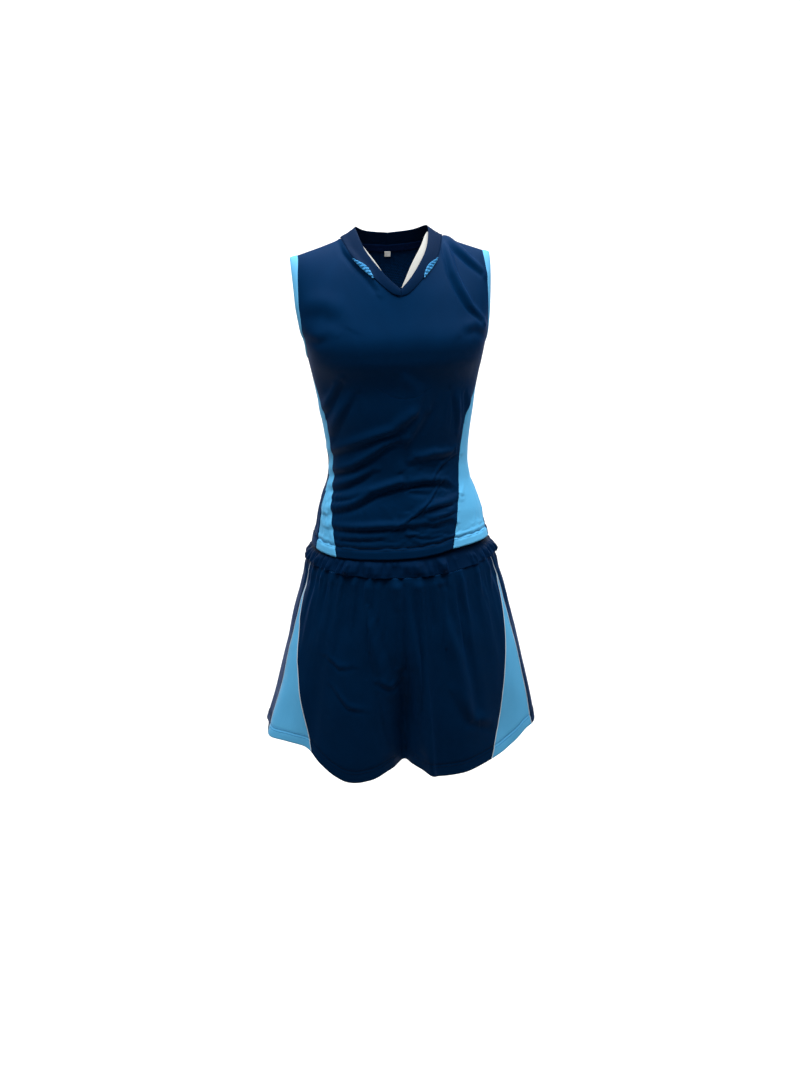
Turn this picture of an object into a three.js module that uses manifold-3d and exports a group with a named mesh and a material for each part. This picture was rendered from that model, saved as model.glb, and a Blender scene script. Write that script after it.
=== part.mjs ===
// A two-piece cheer uniform, shaped as it is worn: a sleeveless V-neck top over
// a gathered A-line skirt. Millimetres, +Z up, front towards -Y, wearer's left
// towards +X. The origin is the centre of the waist opening, level with the
// waistband's top edge.
import * as THREE from "three";
import { LoftGeometry } from "three/addons/geometries/LoftGeometry.js";
import { mergeVertices } from "three/addons/utils/BufferGeometryUtils.js";
import Module from "manifold-3d";

const wasm = await Module();
wasm.setup();

// ---- Cloth and clearances ----
const CLOTH = 1.3; // body panels, with their hems
const BAND = 2.6; // collar and armhole bindings, folded double
const SEAM_GAP = 0.35; // between pieces that are sewn edge to edge
const LAYER_GAP = 0.35; // between one layer and the next inside it
const PLAN_POWER = 2.3; // plan outline of a worn garment: 2 is an ellipse

// ---- The top: half-width, front depth and back depth at each level ----
const topHem = { z: -15, halfWidth: 153, front: 123, back: 118 };
const hip = { z: 65, halfWidth: 138, front: 109, back: 105 };
const waist = { z: 132, halfWidth: 119, front: 93, back: 88 };
const ribs = { z: 239, halfWidth: 131, front: 104, back: 95 };
const bust = { z: 323, halfWidth: 147, front: 124, back: 102 };
const chest = { z: 395, halfWidth: 161 };
const shoulderTip = { x: 163, z: 480 };
const SHOULDER_OVERRUN = 6; // the form runs past the tip, and the armhole cuts it
const neckPoint = { x: 83, z: 507 };
const collarPeak = { x: 60, z: 526 };
// How the depth rounds off from the bust to the shoulder ridge.
const CHEST_ROUND = { falloff: 1.3, swell: 1.5 };
const UPPER_BACK_ROUND = { falloff: 1.7, swell: 1.8 };

// ---- Neckline, front: the outer seam of the collar and the edge of the V ----
const vTip = { x: 0, z: 426 };
const V_EDGE = [vTip, { x: 22, z: 449 }, { x: 48, z: 487 }, collarPeak];
const seamTip = { x: 0, z: 416 };
const COLLAR_SEAM = [seamTip, { x: 14, z: 421 }, { x: 38, z: 442 }, { x: 64, z: 469 }, neckPoint];
const leafInsert = { from: 0.34, to: 0.72, bulge: 8 }; // shares of the seam's length; bulges into the collar
const facing = { overlap: 13, peekNarrow: 3, peekWide: 9, topDrop: 8 };
// ---- Neckline, back ----
const BACK_SEAM = [{ x: 0, z: 489 }, { x: 50, z: 494 }, neckPoint];
const BACK_EDGE = [{ x: 0, z: 514 }, { x: 38, z: 518 }, collarPeak];
const TAPE_WIDTH = 12;
const label = { width: 11, height: 9, thickness: 0.5 };

// ---- Armholes, seen from the side ----
const armhole = { y: 6, bottom: 326, halfWidth: 43, topNarrowing: 0.42 };
const BINDING_WIDTH = 10;

// ---- Side inserts and godets: seams as degrees from the side towards the front ----
const INSERT_APEX = 290;
// The top sits slightly turned on the form, so the left insert reaches farther forwards.
const INSERT_FRONT = {
  left: [
    { z: -15, deg: 64 }, { z: 65, deg: 53 }, { z: 132, deg: 40 }, { z: 222, deg: 33 }, { z: 250, deg: 20 },
  ],
  right: [
    { z: -15, deg: 42 }, { z: 65, deg: 29 }, { z: 132, deg: 18 }, { z: 222, deg: 17 }, { z: 250, deg: 9 },
  ],
};
const INSERT_REAR = [{ z: -15, deg: 15 }, { z: 65, deg: 10 }, { z: 132, deg: 4 }, { z: 239, deg: -1 }];
const GODET_APEX = -82;
// The skirt sits slightly turned too, so its left godet lies farther forwards.
const GODETS = {
  left: { apex: 25, front: 61, rear: 28 },
  right: { apex: 11, front: 47, rear: 14 },
};
const PIPING = { width: 1.6, proud: 0.8 };

// ---- The skirt: half-width, front depth and back depth at each level ----
const HEM_EASE = 0.7; // the top's hem lies this far off the waistband
const BAND_HEIGHT = 50;
const SKIRT_LENGTH = 387;
const ELASTIC = 1.6;
const waistTop = { z: 0, narrower: 5 }; // than the band under the top's hem
const bandSeam = { halfWidth: 163, front: 131, back: 126 };
const gathers = { below: 14, halfWidth: 173, front: 139, back: 134 };
const skirtHip = { z: -176, halfWidth: 206, front: 156, back: 153 };
const skirtHem = { halfWidth: 252, front: 178, back: 176 };

// ---- Mesh density ----
const ROUND_TOP = 36;
const ROUND_SKIRT = 36;
const SHOULDER_RINGS = 7;

const NAVY = 0x0a2447;
const MESH_NAVY = 0x0d2c4f;
const SKY = 0x5fa8d6;
const OFF_WHITE = 0xd7d8d3;
const PALE_GREY = 0xb4c3cf;
const ELASTIC_WHITE = 0xe6e6e2;

const uniform = new THREE.Group();
const top = new THREE.Group();
const skirt = new THREE.Group();
uniform.add(top, skirt);

// ---------------------------------------------------------------- solids ----

// A closed geometry as a manifold solid.
function solid(geometry) {
  const bare = new THREE.BufferGeometry().copy(geometry);
  bare.deleteAttribute("normal");
  bare.deleteAttribute("uv");
  const merged = mergeVertices(bare, 1e-4);
  const index = merged.index.array;
  const faces = [];
  for (let i = 0; i < index.length; i += 3) {
    const [a, b, c] = [index[i], index[i + 1], index[i + 2]];
    if (a !== b && b !== c && c !== a) faces.push(a, b, c);
  }
  const vertProperties = Float32Array.from(merged.attributes.position.array);
  const triVerts = Uint32Array.from(faces);
  return new wasm.Manifold(new wasm.Mesh({ numProp: 3, vertProperties, triVerts }));
}

// Adds a solid to a group as a named mesh.
function piece(group, name, body, color, roughness = 0.7) {
  const { vertProperties, triVerts } = body.getMesh();
  const geometry = new THREE.BufferGeometry();
  geometry.setAttribute("position", new THREE.BufferAttribute(Float32Array.from(vertProperties), 3));
  geometry.setIndex(new THREE.BufferAttribute(Uint32Array.from(triVerts), 1));
  geometry.computeVertexNormals();
  const material = new THREE.MeshStandardMaterial({ color, roughness, metalness: 0 });
  const mesh = new THREE.Mesh(geometry, material);
  mesh.name = name;
  group.add(mesh);
}

const FAR = 400; // past every piece sideways and front to back
const CLEAR = 20; // how far a cut runs past the end of what it cuts

function extruded(outline, depth, basis) {
  const shape = new THREE.Shape(outline.map(([u, v]) => new THREE.Vector2(u, v)));
  const geometry = new THREE.ExtrudeGeometry(shape, { depth, bevelEnabled: false });
  return geometry.applyMatrix4(basis);
}

// A prism of an (x, z) outline, from the middle to the front or to the back.
function frontPrism(outline, gap = 0) {
  const axes = [new THREE.Vector3(1, 0, 0), new THREE.Vector3(0, 0, 1), new THREE.Vector3(0, -1, 0)];
  const basis = new THREE.Matrix4().makeBasis(...axes).setPosition(0, -gap, 0);
  return solid(extruded(outline, FAR, basis));
}

function backPrism(outline, gap = 0) {
  const axes = [new THREE.Vector3(1, 0, 0), new THREE.Vector3(0, 0, 1), new THREE.Vector3(0, -1, 0)];
  const basis = new THREE.Matrix4().makeBasis(...axes).setPosition(0, FAR + gap, 0);
  return solid(extruded(outline, FAR, basis));
}

// A prism of a (y, z) outline, from the middle to one side: 1 is left, -1 is right.
function sidePrism(outline, side) {
  const axes = [new THREE.Vector3(0, 1, 0), new THREE.Vector3(0, 0, 1), new THREE.Vector3(1, 0, 0)];
  const basis = new THREE.Matrix4().makeBasis(...axes).setPosition(side > 0 ? 0 : -FAR, 0, 0);
  return solid(extruded(outline, FAR, basis));
}

function slab(sizeX, sizeY, sizeZ, x, y, z) {
  return solid(new THREE.BoxGeometry(sizeX, sizeY, sizeZ).translate(x, y, z));
}

const frontHalf = slab(2 * FAR, FAR, 4 * FAR, 0, -FAR / 2 - SEAM_GAP / 2, 0);
const backHalf = slab(2 * FAR, FAR, 4 * FAR, 0, FAR / 2 + SEAM_GAP / 2, 0);

// ----------------------------------------------------------------- forms ----

const mix = (a, b, t) => a + (b - a) * t;

// A smooth curve through stations in order of rising `at`, read at a place.
function along(stations, place, at, value) {
  const last = stations.length - 1;
  const slope = (i) => {
    const [before, after] = [stations[Math.max(i - 1, 0)], stations[Math.min(i + 1, last)]];
    return (after[value] - before[value]) / (after[at] - before[at]);
  };
  let i = 0;
  while (i < last - 1 && place > stations[i + 1][at]) i++;
  const [a, b] = [stations[i], stations[i + 1]];
  const span = b[at] - a[at];
  const t = Math.min(Math.max((place - a[at]) / span, 0), 1);
  const ease = t * t * (3 - 2 * t);
  const bend = span * (slope(i) * t * (1 - t) ** 2 - slope(i + 1) * t * t * (1 - t));
  return mix(a[value], b[value], ease) + bend;
}

// The height of the shoulder ridge, which climbs into the collar.
function ridge(x) {
  const across = Math.abs(x);
  const shoulderSlope = (neckPoint.z - shoulderTip.z) / (shoulderTip.x - neckPoint.x);
  const neckSlope = (collarPeak.z - neckPoint.z) / (neckPoint.x - collarPeak.x);
  const slope = across > neckPoint.x ? shoulderSlope : neckSlope;
  return neckPoint.z - slope * (across - neckPoint.x);
}

const TRUNK = [topHem, hip, waist, ribs, bust];
const WIDTHS = [...TRUNK, chest, { z: shoulderTip.z, halfWidth: shoulderTip.x + SHOULDER_OVERRUN }];

// One level ring of a form: plan outline with separate front and back depths.
function planRing(halfWidth, front, back, count, heightAt) {
  const ring = [];
  for (let i = 0; i < count; i++) {
    const angle = (2 * Math.PI * (i + 0.5)) / count;
    const power = 2 / PLAN_POWER;
    const x = halfWidth * Math.sign(Math.cos(angle)) * Math.abs(Math.cos(angle)) ** power;
    const depth = Math.sin(angle) > 0 ? back : front;
    const y = depth * Math.sign(Math.sin(angle)) * Math.abs(Math.sin(angle)) ** power;
    ring.push(new THREE.Vector3(x, y, heightAt(x)));
  }
  return ring;
}

const rounding = (climb, { falloff, swell }) => (1 - climb ** falloff) ** (1 / swell);

// The trunk, from below the hem to the shoulder ridge, swelled by an offset.
function trunk(offset, below = 0) {
  const rings = [];
  const levels = TRUNK.slice(1).flatMap(({ z }, i) => [TRUNK[i].z, mix(TRUNK[i].z, z, 0.5)]);
  if (below) levels.unshift(topHem.z - below);
  for (const z of [...levels, bust.z]) {
    const width = along(WIDTHS, z, "z", "halfWidth") + offset;
    const [front, back] = ["front", "back"].map((v) => along(TRUNK, z, "z", v) + offset);
    rings.push(planRing(width, front, back, ROUND_TOP, () => z));
  }
  for (let i = 1; i <= SHOULDER_RINGS; i++) {
    const climb = Math.sin((Math.PI / 2) * (i / SHOULDER_RINGS));
    const width = along(WIDTHS, mix(bust.z, shoulderTip.z, climb), "z", "halfWidth") + offset;
    const heightAt = (x) => mix(bust.z, ridge(x) + offset, climb);
    const front = (bust.front + offset) * rounding(climb, CHEST_ROUND);
    const back = (bust.back + offset) * rounding(climb, UPPER_BACK_ROUND);
    rings.push(planRing(width, front, back, ROUND_TOP, heightAt));
  }
  return solid(new LoftGeometry(rings, { capStart: true, capEnd: false }));
}

// A layer of cloth between two offsets from the wearer-shaped form.
function topLayer(inner, outer) {
  return trunk(outer).subtract(trunk(inner, 10));
}

// The skirt's form carries the waistband too. It is tied to the top's hem.
const underHem = {
  z: topHem.z,
  halfWidth: topHem.halfWidth - CLOTH - HEM_EASE,
  front: topHem.front - CLOTH - HEM_EASE,
  back: topHem.back - CLOTH - HEM_EASE,
};
const SKIRT = [
  { z: -SKIRT_LENGTH, ...skirtHem },
  skirtHip,
  { z: -BAND_HEIGHT - gathers.below, ...gathers },
  { z: -BAND_HEIGHT, ...bandSeam },
  underHem,
  {
    z: waistTop.z,
    halfWidth: underHem.halfWidth - waistTop.narrower,
    front: underHem.front - waistTop.narrower,
    back: underHem.back - waistTop.narrower,
  },
];

// A solid of the skirt's form through level rings, swelled by an offset.
function skirtForm(offset, levels) {
  const rings = levels.map((z) => {
    const sizes = ["halfWidth", "front", "back"].map((v) => along(SKIRT, z, "z", v) + offset);
    return planRing(...sizes, ROUND_SKIRT, () => z);
  });
  return solid(new LoftGeometry(rings, { capStart: true, capEnd: true }));
}

const spread = (low, high, steps) =>
  Array.from({ length: steps + 1 }, (_, i) => mix(low, high, i / steps));
const PAST = 6; // the level rings start and end this far past the cloth
const BAND_LEVELS = [-BAND_HEIGHT - PAST, -BAND_HEIGHT, topHem.z, waistTop.z + PAST];
const SKIRT_LEVELS = [
  -SKIRT_LENGTH - PAST,
  ...spread(-SKIRT_LENGTH, -BAND_HEIGHT - gathers.below, 6),
  -BAND_HEIGHT + PAST,
];

// A layer of cloth between two offsets and two heights, open above and below.
function skirtLayer(inner, outer, levels, low, high) {
  const band = slab(2 * FAR, 2 * FAR, high - low, 0, 0, (low + high) / 2);
  return skirtForm(outer, levels).subtract(skirtForm(inner, levels)).intersect(band);
}

// ------------------------------------------------------------- neckline -----

const SMOOTH = 10;

// Points of a smooth line through (x, z) places, from the middle outwards.
function line(places, count = SMOOTH) {
  const points = places.map(({ x, z }) => new THREE.Vector3(x, 0, z));
  const curve = new THREE.CatmullRomCurve3(points, false, "centripetal");
  return curve.getPoints(count).map((p) => [p.x, p.z]);
}

// Moves a line sideways: positive is away from the neck.
function shifted(points, distance) {
  return points.map(([x, z], i) => {
    const [a, b] = [points[Math.max(i - 1, 0)], points[Math.min(i + 1, points.length - 1)]];
    const length = Math.hypot(b[0] - a[0], b[1] - a[1]);
    const out = [(b[1] - a[1]) / length, -(b[0] - a[0]) / length];
    return [Math.max(x + out[0] * distance, 0), z + out[1] * distance];
  });
}

const SKY_HIGH = 700; // above every piece

// A closed outline of all that lies inside a line and its mirror, up to the sky.
function opening(points) {
  const mirror = points.slice(1).reverse().map(([x, z]) => [-x, z]);
  const end = points[points.length - 1];
  return [[-end[0], SKY_HIGH], ...mirror, ...points, [end[0], SKY_HIGH]];
}

const seamFront = line(COLLAR_SEAM);
const edgeFront = line(V_EDGE);
const seamBack = line(BACK_SEAM);
const edgeBack = line(BACK_EDGE);
const neckFront = (points, distance = 0) => frontPrism(opening(shifted(points, distance)));
const neckBack = (points, distance = 0) => backPrism(opening(shifted(points, distance)));

// The leaf-shaped insert let into the collar: a bulge beside the seam.
function leafOutline(side, grow) {
  const count = 6 * SMOOTH;
  const part = line(COLLAR_SEAM, count).slice(count * leafInsert.from, count * leafInsert.to + 1);
  const inner = part.map((_, i) => {
    const swell = leafInsert.bulge * Math.sin((Math.PI * i) / (part.length - 1));
    return shifted(part, -swell - grow)[i];
  });
  const outer = shifted(part, grow).reverse();
  return [...outer, ...inner].map(([x, z]) => [side * x, z]);
}

// ------------------------------------------------------------- armholes -----

// The armhole seen from the side, grown outwards by a binding's width.
function armholeOutline(grow) {
  const shoulderSlope = (neckPoint.z - shoulderTip.z) / (shoulderTip.x - neckPoint.x);
  const high = shoulderTip.z + grow * shoulderSlope;
  const low = armhole.bottom - grow;
  const outline = [];
  const count = 28;
  for (let i = 0; i < count; i++) {
    const angle = (2 * Math.PI * i) / count;
    const rise = (1 + Math.sin(angle)) / 2;
    const narrow = 1 - armhole.topNarrowing * rise;
    const y = armhole.y + (armhole.halfWidth + grow) * narrow * Math.cos(angle);
    outline.push([y, mix(low, high, rise)]);
  }
  return outline;
}

const armholes = (grow) =>
  sidePrism(armholeOutline(grow), 1).add(sidePrism(armholeOutline(grow), -1));

// ------------------------------------------------- side seams and godets ----

// Front-to-back place of a seam that lies at an angle from the side axis.
function seamY(depth, degrees) {
  const angle = THREE.MathUtils.degToRad(degrees);
  return -depth * Math.sign(Math.sin(angle)) * Math.abs(Math.sin(angle)) ** (2 / PLAN_POWER);
}

function insertOutline(name, grow) {
  const seam = (stations, sign) =>
    stations.map(({ z, deg }, i) => {
      const low = i ? z : topHem.z - CLEAR;
      return [seamY(along(TRUNK, Math.max(z, topHem.z), "z", "front"), deg) + sign * grow, low];
    });
  const apex = [seamY(bust.front, 1), INSERT_APEX + grow];
  return [...seam(INSERT_FRONT[name], -1), apex, ...seam(INSERT_REAR, 1).reverse()];
}

function godetOutline(name, grow) {
  const { apex, front, rear } = GODETS[name];
  const apexY = seamY(along(SKIRT, GODET_APEX, "z", "front"), apex);
  const hem = -SKIRT_LENGTH - CLEAR;
  const [frontY, rearY] = [seamY(skirtHem.front, front), seamY(skirtHem.front, rear)];
  return [
    [frontY - grow, hem],
    [rearY + grow, hem],
    [apexY + grow, GODET_APEX + grow],
    [apexY - grow, GODET_APEX + grow],
  ];
}

const pipingInner = SEAM_GAP;
const pipingOuter = SEAM_GAP + PIPING.width;
const godetCut = pipingOuter + SEAM_GAP;

// The cut for one godet with its piping, which runs on up to the waistband.
function pipedOutline(name, grow) {
  const [hemFront, hemRear, apexRear, apexFront] = godetOutline(name, grow);
  const stem = PIPING.width / 2 + SEAM_GAP + grow - godetCut;
  const middle = (apexRear[0] + apexFront[0]) / 2;
  const up = -BAND_HEIGHT + CLEAR;
  const [rear, front] = [middle + stem, middle - stem];
  const stemEnds = [[rear, apexRear[1]], [rear, up], [front, up], [front, apexFront[1]]];
  return [hemFront, hemRear, apexRear, ...stemEnds, apexFront];
}

// ------------------------------------------------------------ the pieces ----

const clothLayer = topLayer(0, CLOTH);
const bandLayer = topLayer(0, BAND);
const insideLayer = topLayer(-LAYER_GAP - CLOTH, -LAYER_GAP); // facings and neck tape
const SIDES = [["left", 1], ["right", -1]];
const halfSpace = (side) => slab(FAR, 2 * FAR, 4 * FAR, (side * (FAR + SEAM_GAP)) / 2, 0, 0);

function addTopPanels() {
  const inserts = SIDES.map(([name, side]) => sidePrism(insertOutline(name, SEAM_GAP), side));
  const plain = clothLayer
    .subtract(armholes(BINDING_WIDTH + SEAM_GAP))
    .subtract(inserts[0].add(inserts[1]));
  const front = plain.subtract(rearOfTop(-SEAM_GAP / 2)).subtract(neckFront(seamFront, SEAM_GAP));
  piece(top, "top_front_panel", front, NAVY);
  const back = plain.intersect(rearOfTop(SEAM_GAP / 2)).subtract(neckBack(seamBack, SEAM_GAP));
  piece(top, "top_back_panel", back, MESH_NAVY);
}

// All that lies behind the middle line of the inserts, the side seams above
// them and the shoulder seams, on both sides.
function rearOfTop(shift) {
  const [left, right] = SIDES.map(([name, side]) => {
    const middle = INSERT_REAR.map(({ z, deg }, i) => {
      const depth = along(TRUNK, z, "z", "front");
      const front = along(INSERT_FRONT[name], z, "z", "deg");
      return [seamY(depth, (deg + front) / 2) + shift, i ? z : topHem.z - CLEAR];
    });
    const above = [[shift, INSERT_APEX], [shift, SKY_HIGH], [FAR, SKY_HIGH]];
    return sidePrism([...middle, ...above, [FAR, topHem.z - CLEAR]], side);
  });
  return left.add(right);
}

function addTopInserts() {
  for (const [name, side] of SIDES)
    piece(top, `top_insert_${name}`, clothLayer.intersect(sidePrism(insertOutline(name, 0), side)), SKY);
}

function addArmholeBindings() {
  for (const [name, side] of SIDES) {
    const region = sidePrism(armholeOutline(BINDING_WIDTH), side);
    const hole = sidePrism(armholeOutline(0), side);
    piece(top, `armhole_binding_${name}`, bandLayer.intersect(region).subtract(hole), SKY);
  }
}

function addCollar() {
  const region = neckFront(seamFront).subtract(neckFront(edgeFront));
  const frontBand = bandLayer.intersect(frontHalf).intersect(region);
  for (const [name, side] of SIDES) {
    const cut = frontPrism(leafOutline(side, SEAM_GAP));
    piece(top, `collar_${name}`, frontBand.intersect(halfSpace(side)).subtract(cut), NAVY);
  }
  const rear = neckBack(seamBack).subtract(neckBack(edgeBack));
  piece(top, "collar_back", bandLayer.intersect(backHalf).intersect(rear), NAVY);
}

function addCollarInserts() {
  for (const [name, side] of SIDES) {
    const leaf = clothLayer.intersect(frontHalf).intersect(frontPrism(leafOutline(side, 0)));
    piece(top, `collar_insert_${name}`, leaf, SKY);
  }
}

function addFacings() {
  const inside = insideLayer.intersect(frontHalf);
  const region = inside.intersect(neckFront(edgeFront, facing.overlap));
  const peeks = { left: facing.peekWide, right: facing.peekNarrow };
  for (const [name, side] of SIDES) {
    const strip = region.subtract(neckFront(edgeFront, -peeks[name]));
    const height = slab(2 * FAR, 2 * FAR, FAR, 0, 0, collarPeak.z - facing.topDrop - FAR / 2);
    piece(top, `neck_facing_${name}`, strip.intersect(height).intersect(halfSpace(side)), OFF_WHITE);
  }
}

function addNeckTapeAndLabel() {
  const inside = insideLayer.intersect(backHalf);
  const low = neckBack(seamBack, TAPE_WIDTH / 2);
  const high = neckBack(seamBack, -TAPE_WIDTH / 2);
  piece(top, "neck_tape", inside.intersect(low).subtract(high), NAVY);
  const inner = -2 * LAYER_GAP - CLOTH;
  const leaf = topLayer(inner - label.thickness, inner).intersect(backHalf);
  const highest = BACK_SEAM[0].z - TAPE_WIDTH / 3;
  const block = slab(label.width, 2 * FAR, label.height, 0, 0, highest - label.height / 2);
  piece(top, "size_label", leaf.intersect(block), OFF_WHITE);
}

function addWaistband() {
  const pocket = ELASTIC + 2 * LAYER_GAP;
  const innerFace = -pocket - CLOTH;
  const whole = skirtLayer(innerFace, CLOTH, BAND_LEVELS, -BAND_HEIGHT, waistTop.z);
  const slot = skirtLayer(-pocket, 0, BAND_LEVELS, -BAND_HEIGHT - 1, waistTop.z - CLOTH);
  const casing = whole.subtract(slot);
  piece(skirt, "waistband_casing_front", casing.intersect(frontHalf), NAVY);
  piece(skirt, "waistband_casing_back", casing.intersect(backHalf), NAVY);
  const high = waistTop.z - CLOTH - LAYER_GAP;
  const loop = skirtLayer(-pocket + LAYER_GAP, -LAYER_GAP, BAND_LEVELS, -BAND_HEIGHT + 1, high);
  piece(skirt, "waist_elastic", loop, ELASTIC_WHITE);
}

function addSkirtPanels() {
  const low = -SKIRT_LENGTH;
  const high = -BAND_HEIGHT - SEAM_GAP;
  const cloth = skirtLayer(0, CLOTH, SKIRT_LEVELS, low, high);
  const cuts = SIDES.map(([name, side]) => sidePrism(pipedOutline(name, godetCut), side));
  const panels = cloth.subtract(cuts[0].add(cuts[1]));
  const rear = rearOfGodets();
  piece(skirt, "skirt_front_panel", panels.subtract(rear), NAVY);
  piece(skirt, "skirt_back_panel", panels.intersect(rear), NAVY);
  const thick = skirtLayer(0, CLOTH + PIPING.proud, SKIRT_LEVELS, low, high);
  for (const [name, side] of SIDES) {
    piece(skirt, `skirt_godet_${name}`, cloth.intersect(sidePrism(godetOutline(name, 0), side)), SKY);
    const trim = thick
      .intersect(sidePrism(pipedOutline(name, pipingOuter), side))
      .subtract(sidePrism(godetOutline(name, pipingInner), side));
    const front = trim.subtract(rear);
    piece(skirt, `skirt_piping_front_${name}`, front, PALE_GREY);
    piece(skirt, `skirt_piping_rear_${name}`, trim.intersect(rear).intersect(belowApex()), PALE_GREY);
  }
}

// All that lies behind the godets' middle line, on both sides.
function rearOfGodets() {
  const stem = PIPING.width / 2 + SEAM_GAP / 2;
  const low = -SKIRT_LENGTH - CLEAR;
  const bend = GODET_APEX + PIPING.width;
  const [left, right] = SIDES.map(([name, side]) => {
    const { apex, front, rear } = GODETS[name];
    const apexY = seamY(along(SKIRT, GODET_APEX, "z", "front"), apex);
    const hemY = seamY(skirtHem.front, (front + rear) / 2);
    const upper = [[apexY + stem, waistTop.z], [apexY + stem, bend], [apexY, GODET_APEX]];
    return sidePrism([[hemY, low], [FAR, low], [FAR, waistTop.z], ...upper], side);
  });
  return left.add(right);
}

const belowApex = () => slab(2 * FAR, 2 * FAR, FAR, 0, 0, GODET_APEX - FAR / 2);

addTopPanels();
addTopInserts();
addArmholeBindings();
addCollar();
addCollarInserts();
addFacings();
addNeckTapeAndLabel();
addWaistband();
addSkirtPanels();

export default uniform;
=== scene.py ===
"""A two-piece cheer uniform, shaped as it is worn: a sleeveless V-neck top over a gathered A-line skirt.

Sizes below are in millimetres, and every piece is placed in metres: front towards -Y, wearer's left
towards +X. A place on a garment is a turn, in degrees from the centre front towards the wearer's
left, and a level, in millimetres above the waist opening.
"""
import math

import bmesh
import bpy
from mathutils import Matrix, Vector, kdtree, noise


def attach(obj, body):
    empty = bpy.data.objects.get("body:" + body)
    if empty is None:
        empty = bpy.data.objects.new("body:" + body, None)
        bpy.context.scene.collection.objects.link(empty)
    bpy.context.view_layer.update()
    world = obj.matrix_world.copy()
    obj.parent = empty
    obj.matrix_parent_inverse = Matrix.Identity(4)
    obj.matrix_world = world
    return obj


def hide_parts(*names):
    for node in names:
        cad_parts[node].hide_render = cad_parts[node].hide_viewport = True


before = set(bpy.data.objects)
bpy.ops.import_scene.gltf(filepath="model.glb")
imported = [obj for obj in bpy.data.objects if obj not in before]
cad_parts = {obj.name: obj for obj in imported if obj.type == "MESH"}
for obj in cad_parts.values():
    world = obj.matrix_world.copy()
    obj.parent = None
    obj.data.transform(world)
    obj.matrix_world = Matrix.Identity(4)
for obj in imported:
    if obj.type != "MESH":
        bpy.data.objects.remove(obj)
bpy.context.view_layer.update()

MM = 0.001

# ---- The wearer-shaped form, as the CAD model has it: level, half-width, front and back depth ----
TOP_HEM, BUST, TIP = -15.0, 323.0, 480.0
TRUNK = [(-15, 153, 123, 118), (65, 138, 109, 105), (132, 119, 93, 88), (239, 131, 104, 95),
         (323, 147, 124, 102)]
WIDTHS = [(z, w) for z, w, *_ in TRUNK] + [(395, 161), (480, 169)]
CHEST_ROUND, UPPER_BACK_ROUND = (1.3, 1.5), (1.7, 1.8)
PLAN_POWER = 2 / 2.3
TIP_X, NECK_X, NECK_Z, PEAK_X, PEAK_Z = 163.0, 83.0, 507.0, 60.0, 526.0
CLIMB = TIP - BUST
RIDGE_LEVEL, RIDGE_ROUND = TIP, 20.0
RIGHT_SHOULDER, SKIRT_SWING = 6.0, 11.0  # how far the cloth is carried to the wearer's right
CLOTH = 1.0
SIDES = (("left", 1), ("right", -1))

# ---- Seams of the top ----
INSERT_APEX = 290.0
# Degrees from the side towards the front. The top sits slightly turned on the form.
INSERT_FRONT = {1: [(-15, 64), (65, 53), (132, 40), (222, 33), (250, 20), (290, 1)],
                -1: [(-15, 42), (65, 29), (132, 18), (222, 17), (250, 9), (290, 1)]}
INSERT_REAR = [(-15, 15), (65, 10), (132, 4), (239, -1), (290, 0)]
COLLAR_SEAM = [(0, 416), (14, 421), (38, 442), (64, 469), (83, 507)]
V_EDGE = [(0, 426), (22, 449), (48, 487), (60, 526)]
BACK_SEAM = [(0, 489), (50, 494), (83, 507)]
BACK_EDGE = [(0, 514), (38, 518), (60, 526)]
ARMHOLE_LOW, ARMHOLE_TURN, ARMHOLE_SPREAD = 326.0, 93.0, 17.5
BINDING = 10.0

# ---- The skirt ----
BAND_SEAM, SKIRT_HEM, GODET_APEX = -50.0, -387.0, -82.0
SKIRT = [(-387, 252, 178, 176), (-176, 206, 156, 153), (-64, 173, 139, 134), (-50, 163, 131, 126),
         (-15, 151, 121, 116), (0, 146, 116, 111)]
# A godet's apex, and its front and rear seams at the hem, in degrees from the side.
GODETS = {1: (25, 61, 28), -1: (11, 47, 14)}


# ------------------------------------------------------------------ forms ----

def mix(a, b, t):
    return a + (b - a) * t


def clamp(value, low=0.0, high=1.0):
    return max(low, min(high, value))


def smooth(value):
    value = clamp(value)
    return value * value * (3 - 2 * value)


def along(stations, place, column=1):
    """A smooth curve through stations in order of rising place, read at a place."""
    last = len(stations) - 1

    def slope(i):
        before, after = stations[max(i - 1, 0)], stations[min(i + 1, last)]
        return (after[column] - before[column]) / (after[0] - before[0])

    i = 0
    while i < last - 1 and place > stations[i + 1][0]:
        i += 1
    a, b = stations[i], stations[i + 1]
    span = b[0] - a[0]
    t = clamp((place - a[0]) / span)
    bend = span * (slope(i) * t * (1 - t) ** 2 - slope(i + 1) * t * t * (1 - t))
    return mix(a[column], b[column], smooth(t)) + bend


def ridge(x):
    """The height of the shoulder ridge, which climbs into the collar."""
    shoulder_slope = (NECK_Z - TIP) / (TIP_X - NECK_X)
    neck_slope = (PEAK_Z - NECK_Z) / (NECK_X - PEAK_X)
    inwards = NECK_X - math.hypot(x, RIDGE_ROUND)
    bend = math.hypot(inwards, RIDGE_ROUND / 2) - RIDGE_ROUND / 2
    return NECK_Z + (neck_slope + shoulder_slope) / 2 * inwards + (neck_slope - shoulder_slope) / 2 * bend


def rounding(climb, shape):
    falloff, swell = shape
    return max(0.0, 1 - clamp(climb) ** falloff) ** (1 / swell)


def plan(turn, half_width, front, back):
    """A place on one level outline."""
    s, c = math.sin(math.radians(turn)), math.cos(math.radians(turn))
    x = half_width * math.copysign(abs(s) ** PLAN_POWER, s)
    depth = front if c > 0 else back
    return x, -depth * math.copysign(abs(c) ** PLAN_POWER, c)


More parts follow.
